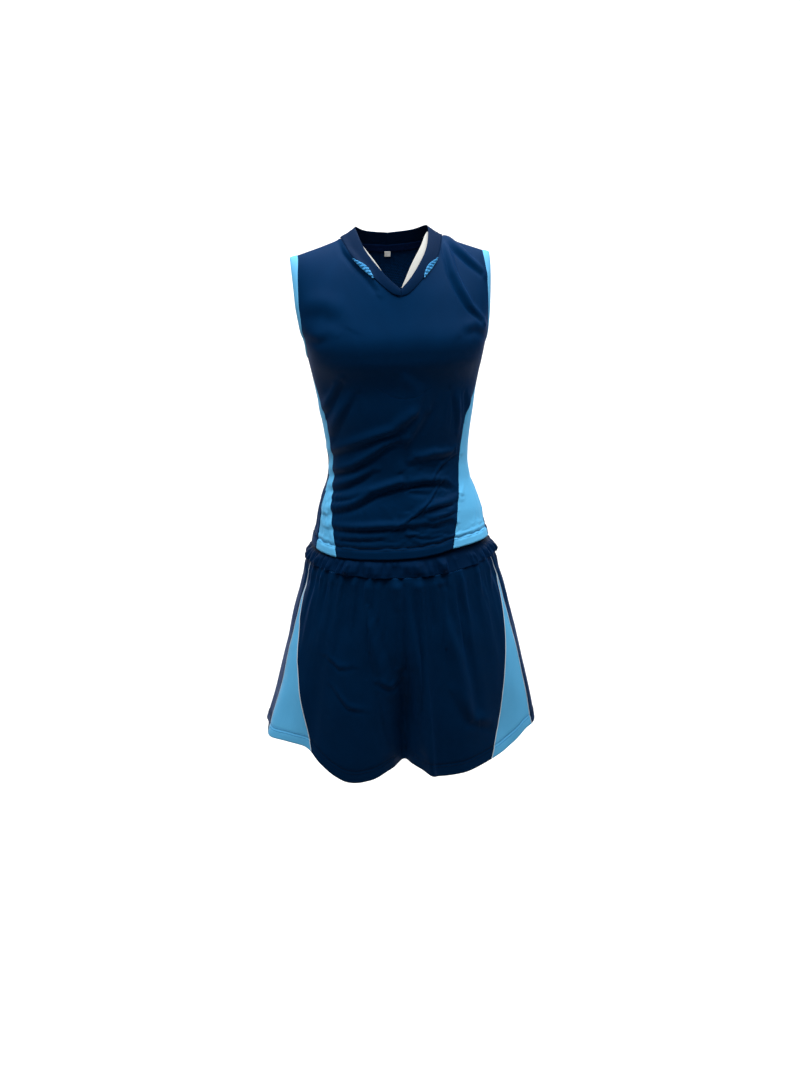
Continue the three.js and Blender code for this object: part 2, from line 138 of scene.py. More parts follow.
def trunk_station(level):
    climb = clamp((level - BUST) / CLIMB)
    width = along(WIDTHS, level)
    if climb <= 0:
        return width, along(TRUNK, level, 2), along(TRUNK, level, 3)
    front = TRUNK[-1][2] * rounding(climb, CHEST_ROUND)
    back = TRUNK[-1][3] * rounding(climb, UPPER_BACK_ROUND)
    return width, front, back


def eased_station(level):
    """The bust rolls over softly, so its sizes are a running mean."""
    reach = 30 * clamp(1 - abs(level - BUST) / 60)
    near = [trunk_station(level + reach * k / 3) for k in (-3, -2, -1, 0, 1, 2, 3)]
    return tuple(sum(column) / 7 for column in zip(*near))


LOWEST = -60
STATIONS = [eased_station(level) for level in range(LOWEST, int(TIP) + 1)]


def trunk_sizes(level):
    place = clamp(level - LOWEST, 0, len(STATIONS) - 1.001)
    i = int(place)
    return tuple(mix(a, b, place - i) for a, b in zip(STATIONS[i], STATIONS[i + 1]))


def trunk_form(turn, level):
    """The place, in millimetres, of a turn and level on the bare form."""
    x, y = plan(turn, *trunk_sizes(level))
    z = level if level <= BUST else mix(BUST, ridge(x), clamp((level - BUST) / CLIMB))
    if x < 0:
        x -= RIGHT_SHOULDER * smooth((level - 335) / 45) * (x / TIP_X) ** 2
    return Vector((x, y, z))


def turn_at(x, half_width, behind):
    s = clamp(abs(x) / half_width) ** (1 / PLAN_POWER)
    turn = math.degrees(math.asin(clamp(s)))
    return math.copysign(180 - turn if behind else turn, x)


def from_front(x, z, behind=False):
    """The turn and level of an (x, z) place on the form's front, or on its back."""
    level = z if z <= BUST else BUST + CLIMB * clamp((z - BUST) / (ridge(x) - BUST))
    return turn_at(x if x else 1e-6, trunk_sizes(level)[0], behind), level


def skirt_form(turn, level):
    x, y = plan(turn, *(along(SKIRT, level, column) for column in (1, 2, 3)))
    down = clamp((BAND_SEAM - level) / (BAND_SEAM - SKIRT_HEM))
    return Vector((x - SKIRT_SWING * (down * x / SKIRT[0][1]) ** 2, y, level))


def godet_seam(level, side, rear=False):
    """How far round a godet's seam lies; it runs straight from the apex to the hem, seen from the side."""
    def seam_y(depth, degrees):
        return depth * math.sin(math.radians(degrees)) ** PLAN_POWER

    apex, front_hem, rear_hem = GODETS[side]
    share = clamp((GODET_APEX - level) / (GODET_APEX - SKIRT_HEM))
    high = seam_y(along(SKIRT, GODET_APEX, 2), apex)
    depth = mix(high, seam_y(SKIRT[0][2], rear_hem if rear else front_hem), share)
    c = clamp(depth / along(SKIRT, level, 2)) ** (1 / PLAN_POWER)
    return math.degrees(math.acos(c))


# ------------------------------------------------------------- mesh pieces ----

def outward(surface, turn, level, step=0.6):
    """The unit normal of a surface at a place."""
    across = surface(turn + step, level) - surface(turn - step, level)
    up = surface(turn, level + step * 2) - surface(turn, level - step * 2)
    n = across.cross(up)
    if n.length < 1e-9:
        return Vector((0, 0, 1))
    return n.normalized()


def patch(columns, rows, place, width, length, wrap=False):
    """A grid sheet: place(u, v) gives each point in millimetres. The UV map is in real metres."""
    bm = bmesh.new()
    bmesh.ops.create_grid(bm, x_segments=columns, y_segments=rows, size=0.5)
    uv = bm.loops.layers.uv.new("cloth")
    for face in bm.faces:
        for loop in face.loops:
            co = loop.vert.co
            loop[uv].uv = ((co.x + 0.5) * width * MM, (co.y + 0.5) * length * MM)
    for vert in bm.verts:
        vert.co = place(vert.co.x + 0.5, vert.co.y + 0.5) * MM
    if wrap:
        bmesh.ops.remove_doubles(bm, verts=bm.verts, dist=0.00002)
    return bm


def finish_piece(name, bm, body, material, stands_for=(), solid=0.0, offset=1.0, smooth_levels=1):
    """Makes a bmesh a piece that rides on a CAD body and takes its finish from a slot."""
    mesh = bpy.data.meshes.new(name)
    bm.to_mesh(mesh)
    bm.free()
    mesh.polygons.foreach_set("use_smooth", [True] * len(mesh.polygons))
    piece = bpy.data.objects.new(name, mesh)
    bpy.context.scene.collection.objects.link(piece)
    mesh.materials.append(material)
    if solid:
        wall = piece.modifiers.new("cloth thickness", "SOLIDIFY")
        wall.thickness = solid * MM
        wall.offset = offset
        wall.use_even_offset = False
    if smooth_levels:
        curve = piece.modifiers.new("smooth", "SUBSURF")
        curve.levels = curve.render_levels = smooth_levels
        curve.boundary_smooth = "PRESERVE_CORNERS"
    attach(piece, body)
    if stands_for:
        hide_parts(*stands_for)


def read(curve, t):
    """A place on an evenly sampled list of points, t from 0 to 1."""
    step = clamp(t) * (len(curve) - 1)
    i = min(int(step), len(curve) - 2)
    a, b = curve[i], curve[i + 1]
    return tuple(mix(p, q, step - i) for p, q in zip(a, b))


def spline(points, count):
    """Evenly spread samples of a smooth line through a few (x, z) points."""
    fine = []
    for i in range(len(points) - 1):
        a, b = points[i], points[i + 1]
        before = points[i - 1] if i else tuple(2 * p - q for p, q in zip(a, b))
        after = points[i + 2] if i + 2 < len(points) else tuple(2 * q - p for p, q in zip(a, b))
        for k in range(24):
            t = k / 24
            fine.append(tuple(
                0.5 * (2 * p1 + (p2 - p0) * t + (2 * p0 - 5 * p1 + 4 * p2 - p3) * t * t
                       + (3 * p1 - p0 - 3 * p2 + p3) * t ** 3)
                for p0, p1, p2, p3 in zip(before, a, b, after)))
    fine.append(tuple(map(float, points[-1])))
    reach = [0.0]
    for a, b in zip(fine, fine[1:]):
        reach.append(reach[-1] + math.dist(a, b))
    out, i = [], 0
    for k in range(count + 1):
        goal = reach[-1] * k / count
        while i < len(fine) - 2 and reach[i + 1] < goal:
            i += 1
        t = (goal - reach[i]) / (reach[i + 1] - reach[i])
        out.append(tuple(mix(p, q, t) for p, q in zip(fine[i], fine[i + 1])))
    return out


def shifted(curve, distance):
    """A sampled (x, z) line moved sideways: positive is away from the neck."""
    out = []
    for i, (x, z) in enumerate(curve):
        a, b = curve[max(i - 1, 0)], curve[min(i + 1, len(curve) - 1)]
        run = math.dist(a, b)
        out.append((x + (b[1] - a[1]) / run * distance, z - (b[0] - a[0]) / run * distance))
    return out


# ------------------------------------------------------------ folds of cloth ----

def turn_gap(a, b):
    return (a - b + 180) % 360 - 180


# Drag lines of the top's front: (x, z) points, width and height in millimetres. Each is a groove along
# its points with a ridge on the left of their run, so above a line that runs towards greater x.
# fold_height() leaves out places whose x is more than four widths below the first point's.
TOP_FOLDS = [
    ([(-114, 156), (-78, 174), (-40, 189), (-12, 198), (13, 222), (31, 228)], 8, 3.2),
    ([(-113, 123), (-79, 138), (-53, 156), (-29, 174), (-4, 184)], 7, 3.4),
    ([(-120, 96), (-93, 108), (-71, 120), (-50, 134)], 6, 2.8),
    ([(-121, 60), (-83, 75), (-50, 96), (-22, 105), (0, 111), (29, 114), (62, 108), (86, 92)], 7, 4.6),
    ([(-120, 80), (-90, 88), (-62, 101)], 5, 1.8),
    ([(-122, 33), (-85, 35), (-47, 38), (11, 39), (75, 36)], 6, 3.0),
    ([(-118, 16), (-80, 18), (-35, 22)], 5, 1.4),
    ([(2, 140), (21, 149), (49, 153), (70, 153), (92, 152)], 7, 3.4),
    ([(20, 62), (52, 69), (86, 73)], 6, 2.8),
    ([(34, 50), (60, 52), (84, 56)], 4, 2.0),
    ([(44, 117), (63, 141), (88, 153)], 2.4, 1.7),
    ([(-29, 33), (14, 60), (41, 84), (61, 114)], 2.4, 1.7),
    ([(-119, 228), (-111, 252), (-98, 282)], 6, 2.4),
    ([(-109, 190), (-94, 228), (-76, 262)], 7, 2.2),
    ([(79, 262), (84, 237), (88, 198)], 6, 2.0),
    ([(104, 262), (108, 240), (106, 215)], 5, 1.6),
    ([(79, 500), (80, 478), (84, 449), (94, 422), (109, 393), (130, 371)], 5, 3.8),
    ([(80, 506), (99, 482), (118, 463), (141, 443)], 5, 3.4),
    ([(-88, 500), (-84, 484), (-70, 464), (-52, 444), (-40, 425)], 6, 2.4),
    ([(-150, 384), (-123, 387), (-100, 376)], 16, 1.8),
    ([(100, 352), (118, 356), (136, 346)], 9, 1.6),
    ([(-146, 352), (-128, 346), (-112, 352)], 9, 1.2),
]
# Creases of the skirt's front, in the same way. The second and third run towards smaller x, and are
# cut off at x -75 and x 57.
SKIRT_CREASES = [
    ([(-13, -66), (-15, -141), (-12, -207), (-12, -279), (0, -357)], 7, 7.5),
    ([(-35, -235), (-49, -171), (-62, -120), (-80, -78)], 10, 6.0),
    ([(109, -294), (106, -258), (94, -180), (68, -114), (61, -70)], 13, 6.0),
    ([(-63, -222), (-40, -240), (-26, -225)], 5, 3.5),
    ([(65, -252), (88, -303), (129, -330)], 9, 3.0),
    ([(-150, -196), (-128, -206), (-104, -196)], 5, 1.8),
    ([(-141, -243), (-118, -264), (-90, -267)], 5, 2.0),
    ([(-40, -290), (-34, -325), (-26, -350)], 5, 2.6),
    ([(-66, -240), (-60, -300), (-56, -345)], 6, 2.2),
]


def fold_height(x, z, folds):
    height = 0.0
    for points, width, tall in folds:
        reach = 4 * width
        if not (points[0][0] - reach < x < max(q[0] for q in points) + reach):
            continue
        best, share, above = 1e9, 0.0, 0.0
        run = len(points) - 1
        for i in range(run):
            (ax, az), (bx, bz) = points[i], points[i + 1]
            dx, dz = bx - ax, bz - az
            t = clamp(((x - ax) * dx + (z - az) * dz) / (dx * dx + dz * dz))
            ox, oz = x - ax - t * dx, z - az - t * dz
            gap = math.hypot(ox, oz)
            if gap < best:
                best, share = gap, (i + t) / run
                above = math.copysign(gap, dx * oz - dz * ox)
        if best < reach:
            taper = math.sin(math.pi * clamp(0.06 + 0.88 * share)) ** 0.7
            groove = 0.7 * math.exp(-(above / (0.75 * width)) ** 2)
            crest = math.exp(-((above - 1.4 * width) / width) ** 2)
            height += tall * taper * (crest - groove)
    return height


def soft_noise(x, y, z, size, seed=0.0):
    return noise.noise(Vector((x / size + seed, y / size - seed, z / size + 2 * seed)))


STITCH_RISE, FOLD_DEPTH = 19.0, 1.8
# How far the top's hem is drawn up above TOP_HEM: turn and millimetres.
TOP_RISE = [(-180, 10), (-90, 14), (-60, 10), (-45, 8), (0, 8), (15, 12), (28, 18), (60, 20), (90, 16),
            (120, 12), (180, 10)]


def hem_press(above_hem):
    """The turned-up hem: a double layer up to the stitching, which presses a groove."""
    step = 0.7 * smooth((STITCH_RISE + 1 - above_hem) / 2.5)
    return step - 0.7 * math.exp(-((above_hem - STITCH_RISE) / 3.0) ** 2)


def top_relief(turn, level):
    """How far the cloth of the top stands off the form."""
    p = trunk_form(turn, level)
    waist = math.exp(-((p.z - 95) / 75) ** 2)
    drag = soft_noise(p.x, p.y * 0.6, p.z * 3.4 + abs(p.x) * 0.8, 62, 3.1)
    side = abs(math.sin(math.radians(turn)))
    height = waist * 2.2 * drag * (0.3 + 0.7 * side)
    height += 0.8 * soft_noise(p.x, p.y, p.z, 55, 1.3)
    if abs(turn) < 90:
        height += FOLD_DEPTH * fold_height(p.x, p.z, TOP_FOLDS)
        faced = smooth(math.cos(math.radians(turn)) * 2 - 0.2)
        fullness = 5 * math.exp(-((p.z - 340) / 34) ** 2)
        hollow = 6 * math.exp(-((p.z - 272) / 30) ** 2)
        height += faced * (fullness - hollow)
    if level < INSERT_APEX:
        front, rear = insert_seams(level, 1 if turn > 0 else -1)
        for seam in (front, rear):
            height -= 0.9 * math.exp(-((abs(turn) - seam) * 2.2 / 2.6) ** 2)
    return height + hem_press(level - TOP_HEM)


DRAPES = {}
DRAPED_BELOW = 334.0


def tube(place, columns, rows, low, high):
    """A closed tube of cloth round the form, welded down its join."""
    bm = bmesh.new()
    bmesh.ops.create_grid(bm, x_segments=columns, y_segments=rows, size=0.5)
    for vert in bm.verts:
        vert.co = place((vert.co.x + 0.5) * 360, mix(low, high, vert.co.y + 0.5)) * MM
    bmesh.ops.remove_doubles(bm, verts=bm.verts, dist=0.00001)
    mesh = bpy.data.meshes.new("drape")
    bm.to_mesh(mesh)
    bm.free()
    made = bpy.data.objects.new("drape", mesh)
    bpy.context.scene.collection.objects.link(made)
    return made


def drape_cloth(name, place, cut_place, body_place, size, held, steps, cap):
    """Simulates one garment as a tube of cloth over its form and keeps how far each place moves.

    place is where the cloth starts, cut_place the larger shape it was cut to, body_place the form
    inside it, and held(level) how firmly a level is held."""
    columns, rows, low, high = size
    cloth = tube(place, columns, rows, low, high)
    body = tube(body_place, columns // 2, rows // 2, low, high)
    body.modifiers.new("form", "COLLISION")
    body.collision.thickness_outer = 0.001
    start = [vert.co.copy() for vert in cloth.data.vertices]
    nearest = kdtree.KDTree(len(start))
    for i, co in enumerate(start):
        nearest.insert(co, i)
    nearest.balance()
    places = []
    for j in range(rows + 1):
        level = mix(low, high, j / rows)
        places.append([nearest.find(place(360 * i / columns, level) * MM)[1] for i in range(columns)])
    cloth.shape_key_add(name="worn")
    cut = cloth.shape_key_add(name="cut")
    pins = cloth.vertex_groups.new(name="held")
    for j, row in enumerate(places):
        level = mix(low, high, j / rows)
        pins.add(row, held(level), "REPLACE")
        for i, vert in enumerate(row):
            cut.data[vert].co = cut_place(360 * i / columns, level) * MM
    drape = cloth.modifiers.new("drape", "CLOTH")
    knit_cloth = drape.settings
    knit_cloth.quality, knit_cloth.mass = 6, 0.2
    knit_cloth.tension_stiffness = knit_cloth.compression_stiffness = 20
    knit_cloth.shear_stiffness, knit_cloth.bending_stiffness = 6, 0.12
    knit_cloth.vertex_group_mass = "held"
    knit_cloth.rest_shape_key = cut
    drape.collision_settings.distance_min = 0.001
    drape.point_cache.frame_end = steps
    for frame_number in range(1, steps + 1):
        bpy.context.scene.frame_set(frame_number)
    settled = cloth.evaluated_get(bpy.context.evaluated_depsgraph_get()).to_mesh()
    moves = []
    for row in places:
        moves.append([])
        for vert in row:
            move = (settled.vertices[vert].co - start[vert]) / MM
            moves[-1].append(move * min(1, cap / max(move.length, 1e-6)))
    bpy.context.scene.frame_set(1)
    for used in (cloth, body):
        bpy.data.objects.remove(used)
    DRAPES[name] = (columns, rows, low, high, moves)


def drape_top():
    """The top is cut a little longer than its form, and settles over it."""
    fitted, spare = 310, 1.07

    def cut_place(turn, level):
        p = top_place(turn, level)
        p.z = fitted - (fitted - p.z) * spare if p.z < fitted else p.z
        return p

    drape_cloth("top", top_place, cut_place, lambda turn, level: top_place(turn, level, -4),
                (168, 78, TOP_HEM, DRAPED_BELOW),
                lambda level: 1.0 if level > 300 or level < 2 else 0.0, 26, 7.0)


def drape_skirt():
    """The gathered skirt hangs from its waistband."""
    def cut_place(turn, level):
        p = skirt_place(turn, level)
        fuller = 1.09 - 0.05 * smooth((BAND_SEAM - level) / 120)
        return Vector((p.x * fuller, p.y * fuller, p.z))

    def body_place(turn, level):
        p = skirt_form(turn, level)
        inside = 1 - 0.07 - 0.3 * smooth((-150 - level) / 200)
        return Vector((p.x * inside, p.y * inside, p.z))

    drape_cloth("skirt", skirt_place, cut_place, body_place, (220, 64, SKIRT_HEM, BAND_SEAM),
                lambda level: 1.0 if level > BAND_SEAM - 4 else 0.0, 14, 9.0)


def draped(name, turn, level):
    """What a simulated drape adds at a place, or nothing where there is none."""
    drape = DRAPES.get(name)
    if drape is None:
        return Vector((0, 0, 0))
    columns, rows, low, high, moves = drape
    across = (turn % 360) / 360 * columns
    up = clamp((level - low) / (high - low)) * rows
    i, j = int(across) % columns, min(int(up), rows - 1)
    s, t = across - int(across), up - j
    k = (i + 1) % columns
    lower = moves[j][i].lerp(moves[j][k], s)
    return lower.lerp(moves[j + 1][i].lerp(moves[j + 1][k], s), t)


def ridge_facing(x):
    slope = (NECK_Z - TIP) / (TIP_X - NECK_X)
    return Vector((math.copysign(slope, x), 0, 1)).normalized()


def top_facing(turn, level):
    """The direction out of the cloth, which front and back share along the shoulder."""
    n = outward(trunk_form, turn, min(level, RIDGE_LEVEL - 4))
    near = smooth((level - RIDGE_LEVEL + 18) / 18)
    if near:
        n = n.lerp(ridge_facing(trunk_form(turn, level).x), near).normalized()
    return n


def top_place(turn, level, lift=0.0):
    """A place on the top's cloth, in millimetres, raised by a lift."""
    p = trunk_form(turn, level) + top_facing(turn, level) * (top_relief(turn, level) + lift)
    p.z += along(TOP_RISE, turn_gap(turn, 0)) * clamp(1 - (level - TOP_HEM) / 120) ** 1.2
    return p + draped("top", turn, level) * smooth((DRAPED_BELOW - level) / 30)


# Folds of the skirt: turn, half-width in degrees and depth at the hem, and the level where each starts.
SKIRT_FOLDS = [(-5, 5, -24, -70), (-4, 2.8, -16, -60), (3, 2, 11, -140), (-27, 13, 12, -120),
               (17, 11, 8, -110), (-46, 6, -8, -150), (44, 8, -5, -170), (66, 8, 6, -150), (-68, 8, 7, -150),
               (88, 9, -7, -120), (-90, 9, -6, -130), (112, 10, 9, -110), (-114, 10, 9, -120),
               (136, 9, -10, -90), (-139, 9, -9, -100), (160, 10, 11, -90), (-162, 9, 10, -90),
               (180, 8, -10, -80)]
# Gathers under the waistband, which die out downwards: turn, half-width in degrees, height and reach.
GATHERS = [(-63, 2.4, 3, 90), (-52, 3, -2.5, 60), (-40, 3, 3, 110), (-27, 2.4, -5, 45), (-21, 2.4, 3.4, 90),
           (-13, 2.4, -4, 60), (-7, 2.6, 3.4, 120), (3, 1.8, 4, 150), (8, 2, -3, 90), (17, 2.8, 3, 130),
           (23, 2, -3.4, 70), (28, 2, 3.6, 90), (34, 2.4, -3, 60), (41, 3, 3, 80), (49, 3, -2.6, 60)]


def skirt_relief(turn, level):
    turn = turn_gap(turn, 0)
    height = 0.0
    for centre, half, depth, start in SKIRT_FOLDS:
        gap = turn_gap(turn, centre) / half
        if level < start and abs(gap) < 3:
            height += depth * smooth((start - level) / (start - SKIRT_HEM)) ** 0.8 * math.exp(-gap * gap)
    below = max(BAND_SEAM - level, 0)
    drawn = 0.3 + 0.7 * smooth(below / 14)
    for centre, half, tall, reach in GATHERS:
        gap = turn_gap(turn, centre) / half
        if abs(gap) < 3:
            height += 1.4 * tall * drawn * math.exp(-gap * gap - below / reach)
    height += drawn * math.exp(-below / 70) * gather(turn, level)
    height += 1.6 * soft_noise(turn * 2.6, 0, level * 0.4, 28, 5.2)
    if abs(turn) < 90:
        p = skirt_form(turn, level)
        height += fold_height(p.x, p.z, SKIRT_CREASES)
    return height + hem_press(level - SKIRT_HEM)


def gather(turn, level):
    """The small upright ruffles that the elastic draws the cloth into."""
    round_mm = turn_gap(turn, 0) * 2.6
    wide = soft_noise(round_mm, 0, level * 0.14, 13, 9.4)
    narrow = soft_noise(round_mm, 0, level * 0.2, 6.5, 2.2)
    return 5.5 * wide + 2.6 * narrow


# How far the skirt's hem lies above SKIRT_HEM: turn and millimetres.
HEM_RISE = [(-180, 8), (-140, 14), (-110, 38), (-88, 54), (-70, 60), (-52, 60), (-42, 48), (-36, 34),
            (-30, 17), (-24, 7), (-16, 9), (-9, 21), (-2, 26), (2, 15), (6, 8), (12, 9), (22, 16), (32, 24),
            (44, 32), (58, 50), (76, 56), (95, 48), (120, 26), (150, 10), (180, 8)]
# How far the waistband's seam is drawn up, in the same way.
BAND_RISE = [(-180, 20), (-90, 24), (-60, 22), (0, 13), (60, 24), (90, 24), (180, 20)]


def skirt_place(turn, level, lift=0.0):
    p = skirt_form(turn, level)
    n = outward(skirt_form, turn, level)
    n = Vector((n.x, n.y, 0)).normalized()
    p = p + n * (skirt_relief(turn, level) + lift)
    down = clamp((BAND_SEAM - level) / (BAND_SEAM - SKIRT_HEM))
    p.z += along(HEM_RISE, turn_gap(turn, 0)) * down ** 1.3
    p.z += along(BAND_RISE, turn_gap(turn, 0)) * (1 - down) ** 1.5
    return p + draped("skirt", turn, level)


# -------------------------------------------------------------- materials ----

NAVY_GLOW, SKY_GLOW = "#1458b0", "#c8e6ff"


def hex_linear(code):
    """An sRGB hex colour as linear RGBA."""
    parts = [int(code[i:i + 2], 16) / 255 for i in (1, 3, 5)]
    return tuple(p / 12.92 if p <= 0.04045 else ((p + 0.055) / 1.055) ** 2.4 for p in parts) + (1.0,)


def add_node(tree, kind, inputs=None, **settings):
    """Adds a node with its settings, socket values and links."""
    made = tree.nodes.new(kind)
    for key, value in settings.items():
        setattr(made, key, value)
    for key, value in (inputs or {}).items():
        if isinstance(value, bpy.types.NodeSocket):
            tree.links.new(value, made.inputs[key])
        else:
            made.inputs[key].default_value = value
    return made


def finish_cloth(tree, shader, colour, pattern, strength, relief, roughness=0.6):
    """Colours a cloth and raises its pattern by a relief in millimetres."""
    bump = add_node(tree, "ShaderNodeBump",
                    {"Height": pattern, "Strength": strength, "Distance": relief * MM})
    tree.links.new(colour, shader.inputs["Base Color"])
    tree.links.new(bump.outputs["Normal"], shader.inputs["Normal"])
    shader.inputs["Roughness"].default_value = roughness


def set_sheen(shader, sheen, glow):
    """Polyester's faint coloured bloom in grazing light."""
    shader.inputs["Specular IOR Level"].default_value = 0.07
    shader.inputs["Specular Tint"].default_value = hex_linear(glow)
    shader.inputs["Sheen Weight"].default_value = sheen
    shader.inputs["Sheen Tint"].default_value = hex_linear(glow)


def new_material(name):
    material = bpy.data.materials.new(name)
    material.use_nodes = True
    tree = material.node_tree
    tree.nodes.clear()
    shader = add_node(tree, "ShaderNodeBsdfPrincipled")
    output = add_node(tree, "ShaderNodeOutputMaterial")
    tree.links.new(shader.outputs["BSDF"], output.inputs["Surface"])
    return material, tree, shader


def knit(name, colour, deep, spacing=1.7, relief=0.12, sheen=0.12, mottle=0.35, glow=NAVY_GLOW):
    """Polyester interlock knit: fine upright wales crossed by courses, a soft sheen, and slight
    unevenness of dye. The true pitch is about 0.9 mm; it is drawn coarser, so that it shows."""
    material, tree, shader = new_material(name)
    uv = add_node(tree, "ShaderNodeUVMap", uv_map="cloth").outputs["UV"]

    def rows_of_loops(pitch, direction):
        # A wave texture's bands repeat at 0.63 of this pitch.
        return add_node(tree, "ShaderNodeTexWave",
                        {"Vector": uv, "Scale": 0.5 / (pitch * MM), "Distortion": 0.6, "Detail": 1.0,
                         "Detail Scale": 2.0}, wave_type="BANDS", bands_direction=direction)
    wales, courses = rows_of_loops(spacing, "X"), rows_of_loops(spacing * 0.8, "Y")
    loops = add_node(tree, "ShaderNodeMath", {0: wales.outputs["Fac"], 1: courses.outputs["Fac"]},
                     operation="MULTIPLY")
    cloudy = add_node(tree, "ShaderNodeTexNoise",
                      {"Vector": uv, "Scale": 28.0, "Detail": 4.0, "Roughness": 0.6})
    shade = add_node(tree, "ShaderNodeMath", {0: cloudy.outputs["Fac"], 1: mottle}, operation="MULTIPLY")
    depth = add_node(tree, "ShaderNodeMath", {0: shade.outputs[0], 1: loops.outputs[0]},
                     operation="MULTIPLY")
    blend = add_node(tree, "ShaderNodeMix", {0: shade.outputs[0]}, data_type="RGBA")
    blend.inputs["A"].default_value = hex_linear(colour)
    blend.inputs["B"].default_value = hex_linear(deep)
    dark = add_node(tree, "ShaderNodeMix", {0: depth.outputs[0]}, data_type="RGBA")
    tree.links.new(blend.outputs["Result"], dark.inputs["A"])
    dark.inputs["B"].default_value = hex_linear(deep)
    finish_cloth(tree, shader, dark.outputs["Result"], loops.outputs[0], 0.35, relief)
    set_sheen(shader, sheen, glow)
    shader.inputs["Sheen Roughness"].default_value = 0.4
    return material


def micro_mesh(name, colour, deep):
    """Polyester micro-mesh: staggered rows of small holes, which read as fine level lines."""
    material, tree, shader = new_material(name)
    uv = add_node(tree, "ShaderNodeUVMap", uv_map="cloth").outputs["UV"]
    pitch = 3.0 * MM
    placed = add_node(tree, "ShaderNodeMapping", {"Vector": uv, "Scale": (1 / pitch, 1 / pitch * 1.25, 1)})
    holes = add_node(tree, "ShaderNodeTexBrick",
                     {"Vector": placed.outputs[0], "Scale": 1.0, "Mortar Size": 0.22, "Mortar Smooth": 0.8,
                      "Brick Width": 1.0, "Row Height": 0.8}, offset=0.5)
    holes.inputs["Color1"].default_value = hex_linear(deep)
    holes.inputs["Color2"].default_value = hex_linear(deep)
    holes.inputs["Mortar"].default_value = hex_linear(colour)
    finish_cloth(tree, shader, holes.outputs["Color"], holes.outputs["Fac"], 0.6, 0.3)
    set_sheen(shader, 0.1, NAVY_GLOW)
    return material


def woven(name, colour, deep, spacing, roughness):
    """Plain woven cloth or tape: crossed threads with a faint weave shadow."""
    material, tree, shader = new_material(name)
    uv = add_node(tree, "ShaderNodeUVMap", uv_map="cloth").outputs["UV"]
    weave = add_node(tree, "ShaderNodeTexChecker", {"Vector": uv, "Scale": 1 / (spacing * MM)})
    weave.inputs["Color1"].default_value = hex_linear(colour)
    weave.inputs["Color2"].default_value = hex_linear(deep)
    soft = add_node(tree, "ShaderNodeTexNoise", {"Vector": uv, "Scale": 60.0, "Detail": 3.0})
    blend = add_node(tree, "ShaderNodeMix", {0: soft.outputs["Fac"]}, data_type="RGBA")
    tree.links.new(weave.outputs["Color"], blend.inputs["A"])
    blend.inputs["B"].default_value = hex_linear(colour)
    finish_cloth(tree, shader, blend.outputs["Result"], weave.outputs["Fac"], 0.4, 0.1, roughness)
    return material


def thread(name, colour):
    """Spun polyester sewing thread: a fine twist with a dull shine."""
    material, tree, shader = new_material(name)
    place = add_node(tree, "ShaderNodeTexCoord").outputs["Object"]
    twist = add_node(tree, "ShaderNodeTexNoise", {"Vector": place, "Scale": 2500.0, "Detail": 2.0})
    bump = add_node(tree, "ShaderNodeBump",
                    {"Height": twist.outputs["Fac"], "Strength": 0.3, "Distance": 0.1 * MM})
    tree.links.new(bump.outputs["Normal"], shader.inputs["Normal"])
    shader.inputs["Base Color"].default_value = hex_linear(colour)
    shader.inputs["Roughness"].default_value = 0.7
    shader.inputs["Specular IOR Level"].default_value = 0.1
    return material


NAVY_KNIT = knit("navy polyester knit", "#01203f", "#011329", sheen=0.16)
COLLAR_KNIT = knit("navy collar knit", "#01162f", "#010d20", spacing=1.5, sheen=0.08)
BAND_KNIT = knit("navy waistband knit", "#011833", "#010e22")
NAVY_MESH = micro_mesh("navy micro-mesh", "#03305c", "#010f22")
SKY_KNIT = knit("sky-blue polyester knit", "#5caedd", "#4a9cce", sheen=0.06, glow=SKY_GLOW)
SKY_BINDING = knit("sky-blue binding knit", "#5598c0", "#4585ae", sheen=0.06, glow=SKY_GLOW)
# Painted shade: the deep colour, strongly mottled and laid on along the 5.5 mm rows of loops, stands for the
# shade in the crinkle valleys over the sky-blue's own colour.
SKY_CRINKLE = knit("sky-blue crinkled knit", "#4f93bd", "#1f5f8d", spacing=5.5, relief=1.2, mottle=1.6,
                   glow=SKY_GLOW)
FACING_CLOTH = woven("off-white woven facing", "#8f908d", "#828380", 0.8, 0.75)
TAPE_CLOTH = knit("navy neck tape", "#06193a", "#030f24", spacing=1.2)
LABEL_SATIN = woven("white satin label", "#e4e4e0", "#d2d2ce", 0.5, 0.4)
ELASTIC = woven("white woven elastic", "#e6e6e2", "#c8c8c4", 1.2, 0.7)
PIPING_CORD = woven("pale piping cord", "#c3d0da", "#9fb4c4", 0.7, 0.6)
# Both threads are darker than the cloth they sew, so the stitch rows read as dark lines: painted shade of
# the pressed stitch groove on top of the thread's own colour.
NAVY_THREAD = thread("navy sewing thread", "#010b20")
SKY_THREAD = thread("blue sewing thread", "#3a7cab")


# -------------------------------------------------------------- top panels ----

HEM_ROWS, SIDE_ROWS, ARM_ROWS = 118, 10, 72
TOP_ROWS = HEM_ROWS + SIDE_ROWS + ARM_ROWS
PANEL_GROW = BINDING - 1.5


def armhole_line(share, behind):
    """Turn and level along the armhole's edge, from 0, under the arm, to 1, at the shoulder."""
    rise = (1 - math.cos(math.pi * share)) / 2
    spread = ARMHOLE_SPREAD * math.sqrt(1 - (1 - rise) ** 4)
    middle = mix(ARMHOLE_TURN, 90, rise)
    return middle + (spread if behind else -spread), mix(ARMHOLE_LOW, RIDGE_LEVEL, rise)


